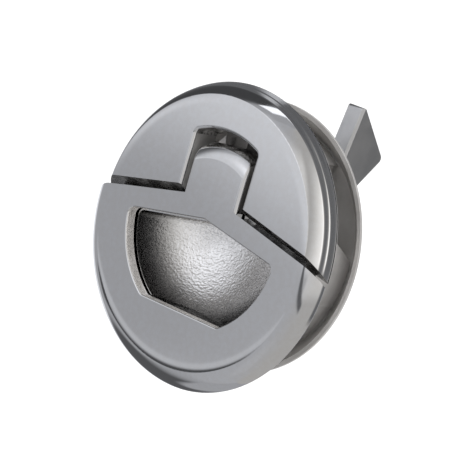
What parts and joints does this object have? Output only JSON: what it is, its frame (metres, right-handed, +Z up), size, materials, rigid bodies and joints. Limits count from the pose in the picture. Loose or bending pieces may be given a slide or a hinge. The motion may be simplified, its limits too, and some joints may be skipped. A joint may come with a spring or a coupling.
{
  "type": "slam latch",
  "caption": "Round flush slam latch in polished stainless steel, with a pull handle, finger dish, clamp dish and bevelled bolt.",
  "frame": {"origin": "on the trim's axis, in the plane of the panel's outer face, where the flange seats", "axes": "+Y runs back through the panel hole, +Z is up towards the bolt's tip, +X is the right-hand side seen from the front"},
  "size_m": [0.0662, 0.0496, 0.0659],
  "materials": {
    "polished_steel": "mirror polished stainless steel; the finger dish is left as cast and bead blasted",
    "bolt_steel": "finely ground stainless steel",
    "cast_steel": "as-cast stainless steel, tumbled",
    "sheet_steel": "pressed stainless sheet",
    "spring_steel": "bright drawn spring wire",
    "screw_steel": "stainless fasteners",
    "bush_plastic": "moulded acetal"
  },
  "bodies": {
    "base": {"housing": "polished_steel", "hinge_pin": "screw_steel", "pin_clips": "spring_steel", "handle_spring_left": "spring_steel", "handle_spring_right": "spring_steel", "bolt_guide": "cast_steel", "guide_screws": "screw_steel", "guide_washers": "screw_steel", "guide_cover": "sheet_steel", "cover_screws": "screw_steel", "bolt_spring": "spring_steel", "spring_saddle": "bush_plastic", "stop_pin": "screw_steel", "clamp_dish": "sheet_steel", "clamp_screws": "screw_steel", "clamp_washers": "screw_steel"},
    "handle": {"pull_handle": "polished_steel", "hub_bushes": "bush_plastic"},
    "bolt": {"latch_bolt": "bolt_steel"}
  },
  "joints": [
    {"name": "handle_hinge", "type": "hinge", "parent": "base", "child": "handle", "pos_m": [0, 0.0017, 0.0135], "axis": [-1, 0, 0], "range_deg": [0, 26], "stiffness_Nm_per_rad": 0.15, "springref_deg": -20.05},
    {"name": "bolt_slide", "type": "slide", "parent": "base", "child": "bolt", "axis": [0, 0, -1], "range_m": [0, 0.0083], "stiffness_N_per_m": 40, "springref_m": -0.004, "deforming": ["bolt_spring"]}
  ],
  "couplings": [
    {"joint": "bolt_slide", "follows": "handle_hinge", "m_per_rad": 0.0182}
  ]
}
